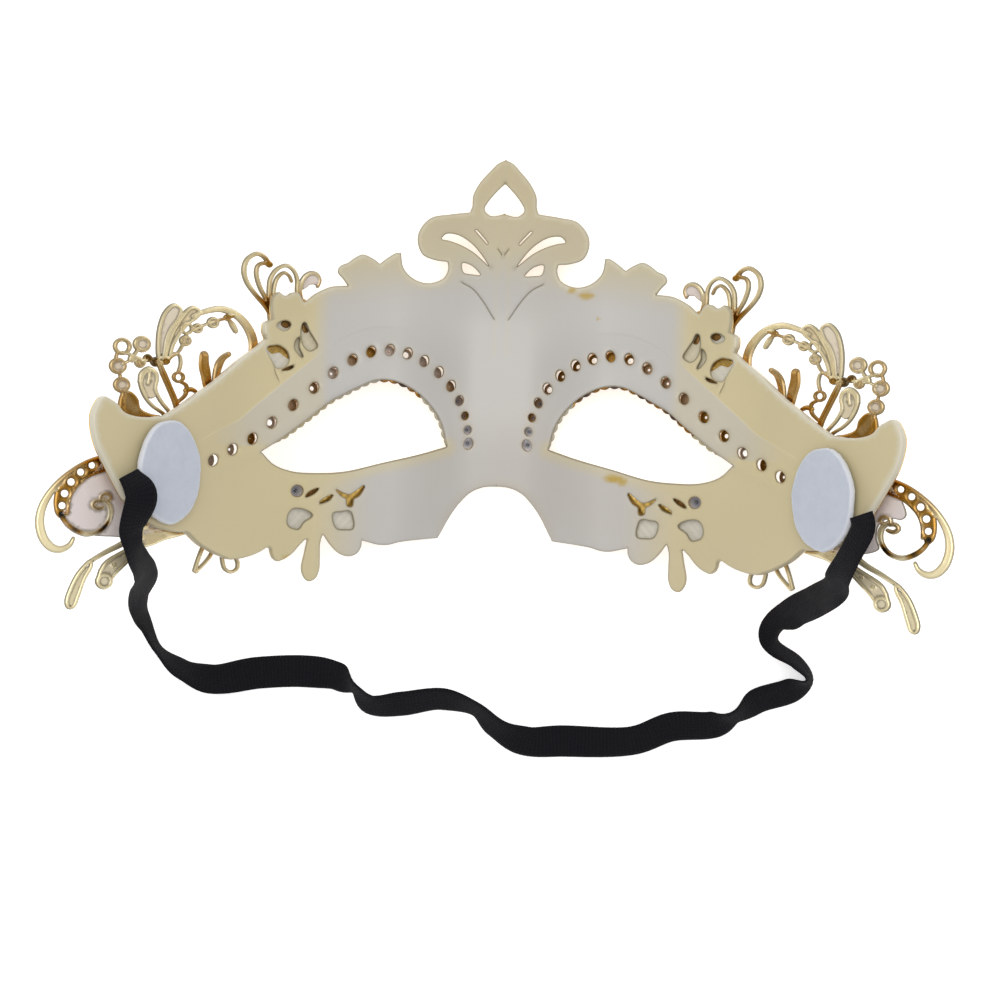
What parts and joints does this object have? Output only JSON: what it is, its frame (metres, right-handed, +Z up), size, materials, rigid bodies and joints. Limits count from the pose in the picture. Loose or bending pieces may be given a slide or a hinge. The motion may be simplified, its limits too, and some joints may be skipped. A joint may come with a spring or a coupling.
{
  "type": "rhinestone masquerade mask",
  "caption": "Moulded half mask with a leafy crest, gilt filigree sprays at the temples, rhinestones round the eyes, felt pads and a flat elastic band; it lies face down.",
  "frame": {"origin": "centre of the footprint of the mask without its elastic, on the surface that it lies on", "axes": "+X across the face towards the right of the picture, +Y towards the crest, +Z up out of the hollow, away from the gilt front"},
  "size_m": [0.2166, 0.148, 0.0737],
  "materials": {
    "ivory_plastic": "moulded back in ivory with a soft gloss, front metallised in gold",
    "gilt_plastic": "gold metallised over moulded plastic, pale behind",
    "crystal": "clear, cut in flat facets",
    "felt": "pale blue-grey felt",
    "elastic": "flat braided elastic, matt black"
  },
  "bodies": {
    "root": {"mask_shell": "ivory_plastic", "gilt_wing_left": "gilt_plastic", "brow_sprig_left": "gilt_plastic", "felt_pad_left": "felt", "eye_stone_left_01": "crystal", "eye_stone_left_02": "crystal", "eye_stone_left_03": "crystal", "eye_stone_left_04": "crystal", "eye_stone_left_05": "crystal", "eye_stone_left_06": "crystal", "eye_stone_left_07": "crystal", "eye_stone_left_08": "crystal", "eye_stone_left_09": "crystal", "eye_stone_left_10": "crystal", "eye_stone_left_11": "crystal", "eye_stone_left_12": "crystal", "eye_stone_left_13": "crystal", "eye_stone_left_14": "crystal", "eye_stone_left_15": "crystal", "eye_stone_left_16": "crystal", "eye_stone_left_17": "crystal", "eye_stone_left_18": "crystal", "cheek_stone_left": "crystal", "gilt_wing_right": "gilt_plastic", "brow_sprig_right": "gilt_plastic", "felt_pad_right": "felt", "eye_stone_right_01": "crystal", "eye_stone_right_02": "crystal", "eye_stone_right_03": "crystal", "eye_stone_right_04": "crystal", "eye_stone_right_05": "crystal", "eye_stone_right_06": "crystal", "eye_stone_right_07": "crystal", "eye_stone_right_08": "crystal", "eye_stone_right_09": "crystal", "eye_stone_right_10": "crystal", "eye_stone_right_11": "crystal", "eye_stone_right_12": "crystal", "eye_stone_right_13": "crystal", "eye_stone_right_14": "crystal", "eye_stone_right_15": "crystal", "eye_stone_right_16": "crystal", "eye_stone_right_17": "crystal", "eye_stone_right_18": "crystal", "cheek_stone_right": "crystal", "elastic_strap": "elastic"}
  },
  "joints": []
}
